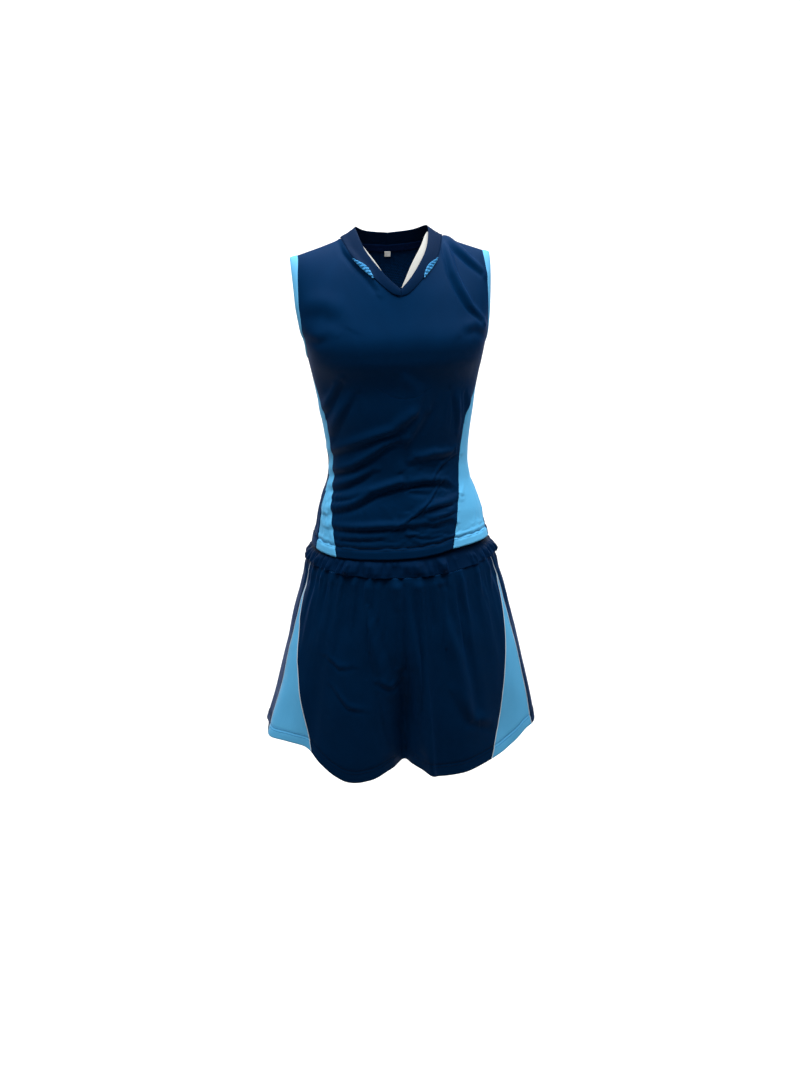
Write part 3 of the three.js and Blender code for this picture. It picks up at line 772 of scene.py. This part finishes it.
def armhole_place(grow, share, behind):
    """The armhole's edge moved outwards over the cloth, in millimetres."""
    turn, level = armhole_line(share, behind)
    before, after = armhole_line(max(share - 0.01, 0), behind), armhole_line(min(share + 0.01, 1), behind)
    low = min(level, RIDGE_LEVEL - 6)
    per_turn = (trunk_form(turn + 1, low) - trunk_form(turn - 1, low)).length / 2
    per_level = (trunk_form(turn, low + 2) - trunk_form(turn, low - 2)).length / 4
    run = Vector(((after[0] - before[0]) * per_turn, (after[1] - before[1]) * per_level))
    if share < 0.01:
        run = Vector((1 if behind else -1, 0))
    if share > 0.97:
        run = Vector((0, 1))
    run.normalize()
    out = Vector((run.y, -run.x)) if behind else Vector((-run.y, run.x))
    if out.y > 0 and share < 0.5:
        out = -out
    return turn + out.x * grow / per_turn, min(level + out.y * grow / per_level, RIDGE_LEVEL)


def insert_seams(level, side):
    """How far round an insert's front and rear seams lie, in degrees from the centre front."""
    return 90 - along(INSERT_FRONT[side], level), 90 - along(INSERT_REAR, level)


def side_edge(row, behind, side):
    """Turn and level where a row of a body panel ends, on the wearer's left (1) or right (-1)."""
    if row <= HEM_ROWS:
        level = mix(TOP_HEM, INSERT_APEX, row / HEM_ROWS)
        return insert_seams(level, side)[1 if behind else 0], level
    low = armhole_place(PANEL_GROW, 0, behind)
    if row <= HEM_ROWS + SIDE_ROWS:
        share = (row - HEM_ROWS) / SIDE_ROWS
        start = insert_seams(INSERT_APEX, side)[1 if behind else 0]
        return mix(start, low[0], share), mix(INSERT_APEX, low[1], share)
    return armhole_place(PANEL_GROW, (row - HEM_ROWS - SIDE_ROWS) / ARM_ROWS, behind)


def neck_levels(points, behind):
    """Turn and level along a neckline, from the middle outwards."""
    return [from_front(max(x, 0.01), z, behind) for x, z in points]


def top_edge(turn, behind):
    """The level where a column of a body panel ends at the neckline or shoulder."""
    line = NECKLINE_BACK if behind else NECKLINE_FRONT
    across = abs(turn_gap(turn, 180 if behind else 0))
    if across <= line[0][0]:
        return line[0][1]
    for (a, level_a), (b, level_b) in zip(line, line[1:]):
        if a <= across <= b:
            return mix(level_a, level_b, (across - a) / max(b - a, 1e-6))
    return RIDGE_LEVEL


SEAM_FRONT = spline(COLLAR_SEAM, 40)
SEAM_BACK = spline(BACK_SEAM, 30)
NECKLINE_FRONT = neck_levels(SEAM_FRONT, False)
NECKLINE_BACK = [(180 - turn, level) for turn, level in neck_levels(SEAM_BACK, True)]
NECKLINE_FRONT.append((NECKLINE_FRONT[-1][0] + 0.5, RIDGE_LEVEL))
NECKLINE_BACK.append((NECKLINE_BACK[-1][0] + 0.5, RIDGE_LEVEL))


def body_panel_place(behind):
    """A body panel spread between the hem, its two side edges and the neckline with its shoulders."""
    edges = {side: [side_edge(row, behind, side) for row in range(TOP_ROWS + 1)] for side in (1, -1)}

    def place(u, v):
        across = 2 * u - 1
        side = 1 if across >= 0 else -1
        edge = edges[side]
        low, high, here = edge[0], edge[-1], read(edge, v)

        def turned(turn):
            return 180 - across * (180 - turn) if behind else across * turn
        top_turn = turned(high[0])
        level = mix(TOP_HEM, top_edge(top_turn, behind), v) + here[1] - mix(low[1], high[1], v)
        return top_place(turned(here[0]), min(level, RIDGE_LEVEL))
    return place


def build_top_panels():
    front = patch(164, TOP_ROWS, body_panel_place(False), 420, 530)
    finish_piece("front_body_panel", front, "top", NAVY_KNIT, ["top_front_panel"], solid=CLOTH,
                 smooth_levels=0)
    back = patch(150, TOP_ROWS, body_panel_place(True), 460, 530)
    bmesh.ops.reverse_faces(back, faces=back.faces)
    finish_piece("back_body_panel", back, "top", NAVY_MESH, ["top_back_panel"], solid=CLOTH,
                 smooth_levels=0)


def build_top_inserts():
    for name, side in SIDES:
        def place(u, v):
            level = mix(TOP_HEM, INSERT_APEX, v)
            front, rear = insert_seams(level, side)
            return top_place(side * mix(front, rear, u if side > 0 else 1 - u), level)
        bm = patch(40, HEM_ROWS, place, 115, 310)
        finish_piece(f"side_insert_{name}", bm, "top", SKY_KNIT, [f"top_insert_{name}"],
                     solid=CLOTH, smooth_levels=0)


# ------------------------------------------------------------- top trims ----

def build_collar():
    edge_front, edge_back = spline(V_EDGE, 40), spline(BACK_EDGE, 30)

    def along_band(seam, edge, t, w, behind, side, lift):
        x, z = (mix(a, b, w) for a, b in zip(read(seam, t), read(edge, t)))
        turn, level = from_front(max(x, 0.02), z, behind)
        return top_place(side * turn, level, lift)

    for name, side in SIDES:
        over = 1.6 if side < 0 else 0.0

        def place(u, v):
            puff = math.sin(math.pi * u) * 0.8
            return along_band(SEAM_FRONT, edge_front, v, u, False, side, 0.6 + puff + over * (1 - v) ** 4)
        bm = patch(10, 48, place, 26, 130)
        if side > 0:
            bmesh.ops.reverse_faces(bm, faces=bm.faces)
        finish_piece(f"collar_front_{name}", bm, "top", COLLAR_KNIT, [f"collar_{name}"],
                     solid=2.0)

    def place_back(u, v):
        s = 2 * v - 1
        return along_band(SEAM_BACK, edge_back, abs(s), u, True, math.copysign(1, s), 0.6)
    bm = patch(10, 60, place_back, 26, 200)
    finish_piece("collar_back_band", bm, "top", COLLAR_KNIT, ["collar_back"], solid=2.0)


def build_leaf_inserts():
    first, last, bulge = 0.38, 0.69, 7.5
    for name, side in SIDES:
        def place(u, v):
            swell = bulge * math.sin(math.pi * v)
            x, z = read(shifted(SEAM_FRONT, mix(0.8, -swell, u)), mix(first, last, v))
            turn, level = from_front(x, z)
            puckered = 1.3 * math.sin(v * 44 + 3.5 * u) * math.sin(math.pi * u)
            return top_place(side * turn, level, 3.0 + puckered + 0.5 * math.sin(math.pi * u))
        bm = patch(12, 60, place, 10, 42)
        if side > 0:
            bmesh.ops.reverse_faces(bm, faces=bm.faces)
        finish_piece(f"leaf_insert_{name}", bm, "top", SKY_CRINKLE, [f"collar_insert_{name}"],
                     solid=0.6)


def build_facings():
    edge = spline(V_EDGE, 40)
    for name, side, peek, first, last in (("left", 1, 10.5, 0.02, 0.93), ("right", -1, 2.6, 0.3, 0.74)):
        def place(u, v):
            swell = peek * math.sin(math.pi * v) ** 0.8
            x, z = read(shifted(edge, mix(-swell, 9.0, u)), mix(first, last, v))
            turn, level = from_front(max(x, 0.02), z)
            return top_place(side * turn, level, -1.6 - 2.5 * (1 - u))
        bm = patch(8, 40, place, 20, 115)
        if side < 0:
            bmesh.ops.reverse_faces(bm, faces=bm.faces)
        finish_piece(f"facing_{name}", bm, "top", FACING_CLOTH, [f"neck_facing_{name}"],
                     solid=0.6)


def build_tape_and_label():
    def place(u, v):
        s = 2 * v - 1
        x, z = read(shifted(SEAM_BACK, mix(-6, 6, u)), abs(s))
        turn, level = from_front(max(abs(x), 0.02), z, True)
        return top_place(math.copysign(turn, s), level, -1.5)
    finish_piece("back_neck_tape", patch(6, 60, place, 12, 190), "top", TAPE_CLOTH,
                 ["neck_tape"], solid=0.8)

    def place_label(u, v):
        x, z = mix(-5.5, 5.5, u), mix(485, 476, v)
        turn, level = from_front(abs(x) + 0.02, z, True)
        return top_place(math.copysign(turn, x), level, -2.6 - 0.8 * v)
    bm = patch(6, 6, place_label, 11, 9)
    finish_piece("blank_label", bm, "top", LABEL_SATIN, ["size_label"], solid=0.3)


def build_bindings():
    # Cross-section of the folded band: growth from the armhole's edge, and lift off the cloth.
    section = [(10.2, 0.9), (9.6, 2.0), (6.5, 2.3), (3.2, 2.4), (0.7, 2.0), (-0.2, 0.7), (0.5, -0.6),
               (3.0, -1.2), (6.5, -1.1), (9.4, -0.8), (10.2, -0.2)]
    for name, side in SIDES:
        def place(u, v):
            grow, lift = read(section, v) if v < 1 else section[-1]
            share, behind = (u * 2, False) if u < 0.5 else (2 - u * 2, True)
            turn, level = armhole_place(grow, share, behind)
            return top_place(side * turn, level, lift)
        bm = patch(110, len(section) - 1, place, 400, 22, wrap=True)
        bmesh.ops.recalc_face_normals(bm, faces=bm.faces)
        finish_piece(f"armhole_band_{name}", bm, "top", SKY_BINDING, [f"armhole_binding_{name}"])


# ------------------------------------------------------------------ skirt ----

def skirt_level(v):
    return mix(SKIRT_HEM, BAND_SEAM, v)


def build_skirt_panels():
    def place_front(u, v):
        level = skirt_level(v)
        return skirt_place(mix(-godet_seam(level, -1), godet_seam(level, 1), u), level)
    bm = patch(170, 130, place_front, 400, 340)
    finish_piece("front_skirt_panel", bm, "skirt", NAVY_KNIT, ["skirt_front_panel"],
                 solid=CLOTH, smooth_levels=0)

    def place_back(u, v):
        level = skirt_level(v)
        return skirt_place(mix(godet_seam(level, 1, True), 360 - godet_seam(level, -1, True), u), level)
    bm = patch(220, 110, place_back, 800, 340)
    finish_piece("back_skirt_panel", bm, "skirt", NAVY_KNIT, ["skirt_back_panel"], solid=CLOTH,
                 smooth_levels=0)

    for name, side in SIDES:
        def place(u, v):
            level = mix(SKIRT_HEM, GODET_APEX, v)
            share = u if side > 0 else 1 - u
            turn = mix(godet_seam(level, side), godet_seam(level, side, True), share)
            return skirt_place(side * turn, level)
        bm = patch(44, 116, place, 110, 305)
        finish_piece(f"godet_{name}", bm, "skirt", SKY_KNIT, [f"skirt_godet_{name}"],
                     solid=CLOTH, smooth_levels=0)
        for end, rear, high in (("front", False, BAND_SEAM), ("rear", True, GODET_APEX)):
            def cord_place(u, v):
                level = mix(SKIRT_HEM, high, v)
                angle = 2 * math.pi * u
                turn = side * godet_seam(level, side, rear) + 0.8 * math.cos(angle) / 3.4
                return skirt_place(turn, level, 1.1 + 0.8 * math.sin(angle))
            bm = patch(8, 130, cord_place, 6, 340, wrap=True)
            bmesh.ops.recalc_face_normals(bm, faces=bm.faces)
            finish_piece(f"seam_piping_{end}_{name}", bm, "skirt", PIPING_CORD,
                         [f"skirt_piping_{end}_{name}"], smooth_levels=0)


def build_waistband():
    # The casing goes up the inside, over the top edge and down the outside. Its inside doesn't clear
    # the elastic everywhere: the elastic shows through it below the top edge.
    inside, outside = -3.6, 0.6
    height = -BAND_SEAM

    def place_for(behind):
        def place(u, v):
            turn = mix(-90, 90, u) + (180 if behind else 0)
            run = v * (2 * height + 6)
            if run < height:
                level, lift = BAND_SEAM + run, inside
            elif run < height + 6:
                bend = (run - height) / 6 * math.pi
                level = 1.6 * math.sin(bend) - 1.6
                lift = mix(inside, outside, (1 - math.cos(bend)) / 2)
            else:
                level, lift = -(run - height - 6), outside
            p = skirt_form(turn, level)
            n = outward(skirt_form, turn, min(max(level, BAND_SEAM + 1), -2))
            n = Vector((n.x, n.y, 0)).normalized()
            draw = smooth((-14 - level) / 12) * (1 - 0.45 * smooth((-38 - level) / 12))
            ruffle = max(0.0, 2.6 + 2.0 * gather(turn * 1.3, level)) * draw if lift > 0 else 0.0
            p.z += along(BAND_RISE, turn_gap(turn, 0)) * clamp(level / BAND_SEAM)
            return p + n * (lift + ruffle)
        return place
    for name, behind in (("front", False), ("back", True)):
        bm = patch(200, 30, place_for(behind), 470, 106)
        bmesh.ops.reverse_faces(bm, faces=bm.faces)
        finish_piece(f"waistband_{name}", bm, "skirt", BAND_KNIT, [f"waistband_casing_{name}"],
                     solid=0.8)


def build_hem_stitching():
    """Twin-needle coverstitch along both hems, one real stitch after another."""
    def stitch_row(bm, place, low, high, level, step):
        count = max(int((high - low) / step), 1)
        for k in range(count):
            first, last = (mix(low, high, (k + share) / count) for share in (0.1, 0.85))
            a, b = place(first, level, 1.25) * MM, place(last, level, 1.25) * MM
            run = b - a
            lie = Matrix.Translation((a + b) / 2) @ run.to_track_quat("Z", "Y").to_matrix().to_4x4()
            bmesh.ops.create_cone(bm, cap_ends=True, segments=6, radius1=0.00036, radius2=0.00036,
                                  depth=run.length, matrix=lie)

    def top_seams(level):
        right_front, right_rear = insert_seams(level, -1)
        left_front, left_rear = insert_seams(level, 1)
        return right_front, right_rear, left_front, left_rear

    def skirt_seams(level):
        return (godet_seam(level, -1), godet_seam(level, -1, True), godet_seam(level, 1),
                godet_seam(level, 1, True))

    for body, place, hem, seams, step in (("top", top_place, TOP_HEM, top_seams, 1.35),
                                          ("skirt", skirt_place, SKIRT_HEM, skirt_seams, 0.8)):
        navy, sky = bmesh.new(), bmesh.new()
        for level in (hem + STITCH_RISE - 2.5, hem + STITCH_RISE + 2.5):
            right_front, right_rear, left_front, left_rear = seams(level)
            stitch_row(navy, place, -right_front, left_front, level, step)
            stitch_row(navy, place, left_rear, 360 - right_rear, level, step)
            stitch_row(sky, place, left_front, left_rear, level, step)
            stitch_row(sky, place, -right_rear, -right_front, level, step)
        finish_piece(f"{body}_hem_stitching", navy, body, NAVY_THREAD, smooth_levels=0)
        finish_piece(f"{body}_side_stitching", sky, body, SKY_THREAD, smooth_levels=0)


def dress_elastic():
    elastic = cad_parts["waist_elastic"]
    elastic.data.materials.clear()
    elastic.data.materials.append(ELASTIC)


# ------------------------------------------------------------------ stage ----

def build_stage():
    bm = bmesh.new()
    bmesh.ops.create_grid(bm, x_segments=1, y_segments=1, size=4.0)
    far = [e for e in bm.edges if all(v.co.y > 0 for v in e.verts)]
    risen = bmesh.ops.extrude_edge_only(bm, edges=far)["geom"]
    for vert in (g for g in risen if isinstance(g, bmesh.types.BMVert)):
        vert.co.z += 4.0
    bmesh.ops.bevel(bm, geom=far, offset=1.5, segments=16, profile=0.5, affect="EDGES", material=-1)
    for vert in bm.verts:
        vert.co.z -= 1.7
    mesh = bpy.data.meshes.new("studio_floor")
    bm.to_mesh(mesh)
    bm.free()
    mesh.polygons.foreach_set("use_smooth", [True] * len(mesh.polygons))
    floor = bpy.data.objects.new("studio_floor", mesh)
    bpy.context.scene.collection.objects.link(floor)
    material, _, shader = new_material("pale studio paper")
    shader.inputs["Base Color"].default_value = hex_linear("#f7f7f6")
    shader.inputs["Roughness"].default_value = 0.9
    mesh.materials.append(material)


def build_lights():
    def area(name, place, aim, size, watts):
        lamp = bpy.data.lights.new(name, "AREA")
        lamp.shape, lamp.size, lamp.energy = "SQUARE", size, watts
        held = bpy.data.objects.new(name, lamp)
        held.location = place
        held.rotation_euler = (Vector(aim) - Vector(place)).to_track_quat("-Z", "Y").to_euler()
        bpy.context.scene.collection.objects.link(held)
    area("overhead_light", (-0.14, -0.6, 1.6), (0, -0.05, 0.1), 0.6, 15)
    area("front_fill", (-0.9, -2.9, 1.3), (0, 0, 0), 1.8, 1.6)
    area("left_fill", (1.9, -0.7, 0.8), (0, 0, 0), 1.0, 2)
    area("right_fill", (-1.9, -0.7, 0.8), (0, 0, 0), 1.0, 2.4)
    area("neck_light", (0, -0.95, 1.15), (0, 0.06, 0.46), 0.25, 3.2)
    area("paper_light", (0.5, 1.0, 2.8), (0.5, 3.2, -0.2), 4.2, 340)
    world = bpy.data.worlds.new("studio")
    world.use_nodes = True
    world.node_tree.nodes["Background"].inputs["Color"].default_value = hex_linear("#ffffff")
    world.node_tree.nodes["Background"].inputs["Strength"].default_value = 0.035
    bpy.context.scene.world = world
    bpy.context.scene.view_settings.view_transform = "Standard"


def build_camera():
    distance, height, azimuth, pitch, roll = 1.9, 0.513, -7.0, -15.0, -1.6
    lens = bpy.data.cameras.new("camera")
    lens.lens, lens.sensor_width, lens.sensor_fit = 37.8, 36, "AUTO"
    camera = bpy.data.objects.new("camera", lens)
    a = math.radians(azimuth)
    where = Vector((distance * math.sin(a), -distance * math.cos(a), height))
    turn = Matrix.Rotation(a, 4, "Z") @ Matrix.Rotation(math.radians(90 + pitch), 4, "X")
    camera.matrix_world = Matrix.Translation(where) @ turn @ Matrix.Rotation(math.radians(roll), 4, "Z")
    bpy.context.scene.collection.objects.link(camera)
    bpy.context.scene.camera = camera


drape_top()
drape_skirt()
build_camera()
build_lights()
build_stage()
build_top_panels()
build_top_inserts()
build_collar()
build_leaf_inserts()
build_facings()
build_tape_and_label()
build_bindings()
build_waistband()
build_skirt_panels()
build_hem_stitching()
dress_elastic()

bpy.context.view_layer.update()
